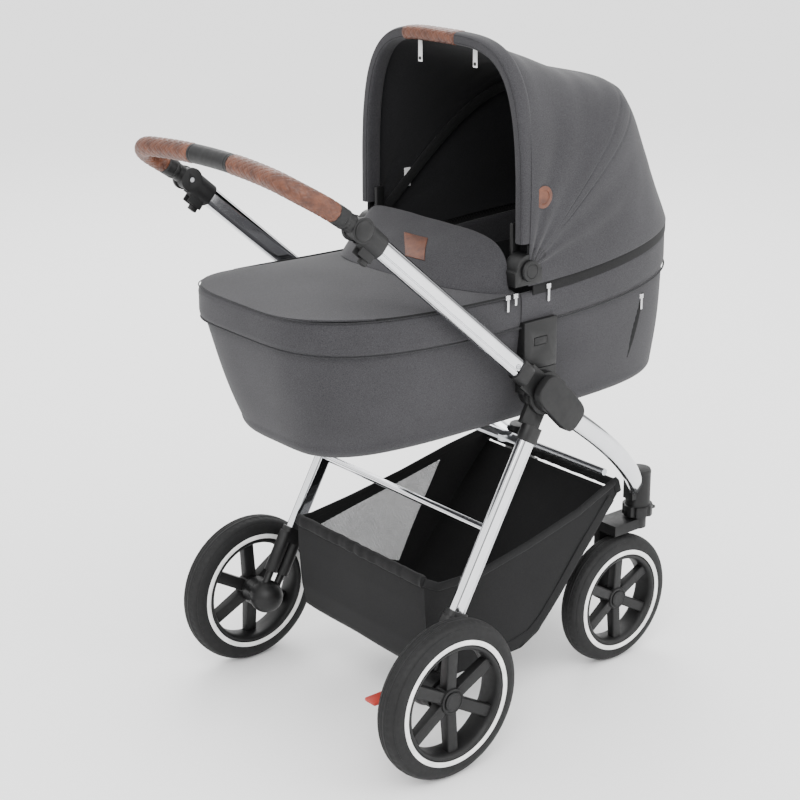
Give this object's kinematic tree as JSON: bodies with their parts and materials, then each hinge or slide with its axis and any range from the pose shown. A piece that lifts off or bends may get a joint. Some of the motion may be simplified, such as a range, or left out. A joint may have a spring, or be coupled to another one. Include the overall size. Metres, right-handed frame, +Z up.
{
  "type": "baby stroller",
  "caption": "Folding baby stroller with a lift-off carrycot, folding canopy, tilting leather push bar, shopping basket, sprung rear wheels and swivelling front wheels.",
  "frame": {"origin": "on the floor, at the centre of the bounding box", "axes": "+X forward, +Y left, +Z up"},
  "size_m": [0.9356, 0.616, 1.1803],
  "materials": {
    "chrome": "polished",
    "satin_metal": "satin",
    "black_plastic": "fine moulded grain",
    "melange_cloth": "woven melange",
    "black_cloth": "plain weave",
    "mattress_cloth": "knit",
    "brown_leather": "stitched, satin",
    "tyre_rubber": "moulded",
    "rim_plastic": "moulded",
    "red_plastic": "moulded"
  },
  "bodies": {
    "front_frame": {"front_leg_left": "chrome", "front_leg_right": "chrome", "hub_covers": "black_plastic", "hub_pins": "satin_metal", "swivel_housings": "black_plastic", "front_cross_tube": "satin_metal", "frame_adapters": "black_plastic", "basket": "black_cloth"},
    "rear_frame": {"rear_leg_left": "chrome", "rear_leg_right": "chrome", "rear_knuckles": "black_plastic", "rear_cross_tube": "chrome", "cross_brace": "satin_metal", "leg_sockets": "black_plastic"},
    "handle_frame": {"upper_tube_left": "chrome", "upper_tube_right": "chrome", "handle_knuckles": "black_plastic", "tilt_housings": "black_plastic", "tilt_screws": "satin_metal"},
    "push_handle": {"push_bar": "black_plastic", "grip_left": "brown_leather", "grip_right": "brown_leather", "bar_sleeve": "black_plastic"},
    "fold_lever_l": {"fold_lever_left": "black_plastic"},
    "fold_lever_r": {"fold_lever_right": "black_plastic"},
    "cot": {"cot_body": "melange_cloth", "cot_rim": "melange_cloth", "mattress": "mattress_cloth", "apron": "melange_cloth", "wind_flap": "melange_cloth", "canopy_rear": "melange_cloth", "canopy_mounts": "black_plastic", "cot_adapters": "black_plastic"},
    "cot_button_l": {"cot_button_left": "black_plastic"},
    "cot_button_r": {"cot_button_right": "black_plastic"},
    "hoop": {"canopy_hoop": "melange_cloth", "canopy_front": "melange_cloth", "canopy_knobs": "black_plastic", "canopy_grip": "brown_leather"},
    "second_bow": {"canopy_bow": "black_cloth"},
    "axle_l": {"axle_housing_left": "black_plastic"},
    "axle_r": {"axle_housing_right": "black_plastic"},
    "pedal": {"brake_pedal": "red_plastic"},
    "rear_wheel_l": {"rear_tyre_left": "tyre_rubber", "rear_rim_left": "rim_plastic"},
    "rear_wheel_r": {"rear_tyre_right": "tyre_rubber", "rear_rim_right": "rim_plastic"},
    "fork_l": {"fork_left": "black_plastic"},
    "fork_r": {"fork_right": "black_plastic"},
    "front_wheel_l": {"front_tyre_left": "tyre_rubber", "front_rim_left": "rim_plastic"},
    "front_wheel_r": {"front_tyre_right": "tyre_rubber", "front_rim_right": "rim_plastic"},
    "swivel_lock_l": {"swivel_lock_left": "black_plastic"},
    "swivel_lock_r": {"swivel_lock_right": "black_plastic"}
  },
  "joints": [
    {"name": "handle_fold", "type": "hinge", "parent": "front_frame", "child": "handle_frame", "pos_m": [0.04183, 0, 0.6], "axis": [0, 1, 0], "range_deg": [0, 140]},
    {"name": "rear_fold", "type": "hinge", "parent": "front_frame", "child": "rear_frame", "pos_m": [0.04183, 0, 0.6], "axis": [0, -1, 0], "range_deg": [0, 34.1]},
    {"name": "handle_tilt", "type": "hinge", "parent": "handle_frame", "child": "push_handle", "pos_m": [-0.35033, 0, 0.94452], "axis": [0, 1, 0], "range_deg": [-60, 35]},
    {"name": "fold_lever_left", "type": "slide", "parent": "handle_frame", "child": "fold_lever_l", "axis": [-0.7513, 0, 0.66], "range_m": [0, 0.008], "stiffness_N_per_m": 300, "springref_m": -0.004},
    {"name": "fold_lever_right", "type": "slide", "parent": "handle_frame", "child": "fold_lever_r", "axis": [-0.7513, 0, 0.66], "range_m": [0, 0.008], "stiffness_N_per_m": 300, "springref_m": -0.004},
    {"name": "cot_lift", "type": "slide", "parent": "front_frame", "child": "cot", "axis": [0, 0, 1], "range_m": [0, 0.12]},
    {"name": "cot_release_left", "type": "slide", "parent": "cot", "child": "cot_button_l", "axis": [0, -1, 0], "range_m": [0, 0.0025], "stiffness_N_per_m": 400, "springref_m": -0.003},
    {"name": "cot_release_right", "type": "slide", "parent": "cot", "child": "cot_button_r", "axis": [0, 1, 0], "range_m": [0, 0.0025], "stiffness_N_per_m": 400, "springref_m": -0.003},
    {"name": "canopy_fold", "type": "hinge", "parent": "cot", "child": "hoop", "pos_m": [0.01583, 0, 0.812], "axis": [0, 1, 0], "range_deg": [0, 45]},
    {"name": "bow_fold", "type": "hinge", "parent": "cot", "child": "second_bow", "pos_m": [0.01583, 0, 0.812], "axis": [0, 1, 0], "range_deg": [0, 22.6]},
    {"name": "suspension_left", "type": "slide", "parent": "rear_frame", "child": "axle_l", "axis": [0.4949, 0, 0.8689], "range_m": [0, 0.012], "stiffness_N_per_m": 6000, "springref_m": -0.012},
    {"name": "rear_wheel_left_spin", "type": "hinge", "parent": "axle_l", "child": "rear_wheel_l", "pos_m": [-0.22017, 0.284, 0.14], "axis": [0, 1, 0], "continuous": true},
    {"name": "suspension_right", "type": "slide", "parent": "rear_frame", "child": "axle_r", "axis": [0.4949, 0, 0.8689], "range_m": [0, 0.012], "stiffness_N_per_m": 6000, "springref_m": -0.012},
    {"name": "rear_wheel_right_spin", "type": "hinge", "parent": "axle_r", "child": "rear_wheel_r", "pos_m": [-0.22017, -0.284, 0.14], "axis": [0, 1, 0], "continuous": true},
    {"name": "brake", "type": "hinge", "parent": "axle_r", "child": "pedal", "pos_m": [-0.23417, -0.23, 0.13], "axis": [0, -1, 0], "range_deg": [0, 18]},
    {"name": "caster_left", "type": "hinge", "parent": "front_frame", "child": "fork_l", "pos_m": [0.35183, 0.159, 0.3], "axis": [0, 0, 1], "continuous": true},
    {"name": "front_wheel_left_spin", "type": "hinge", "parent": "fork_l", "child": "front_wheel_l", "pos_m": [0.29483, 0.159, 0.123], "axis": [0, 1, 0], "continuous": true},
    {"name": "swivel_lock_left", "type": "slide", "parent": "front_frame", "child": "swivel_lock_l", "axis": [1, 0, 0], "range_m": [0, 0.006]},
    {"name": "caster_right", "type": "hinge", "parent": "front_frame", "child": "fork_r", "pos_m": [0.35183, -0.159, 0.3], "axis": [0, 0, 1], "continuous": true},
    {"name": "front_wheel_right_spin", "type": "hinge", "parent": "fork_r", "child": "front_wheel_r", "pos_m": [0.29483, -0.159, 0.123], "axis": [0, 1, 0], "continuous": true},
    {"name": "swivel_lock_right", "type": "slide", "parent": "front_frame", "child": "swivel_lock_r", "axis": [1, 0, 0], "range_m": [0, 0.006]}
  ],
  "couplings": [
    {"joint": "rear_fold", "follows": "handle_fold", "ratio": 0.24286},
    {"joint": "bow_fold", "follows": "canopy_fold", "ratio": 0.5}
  ]
}
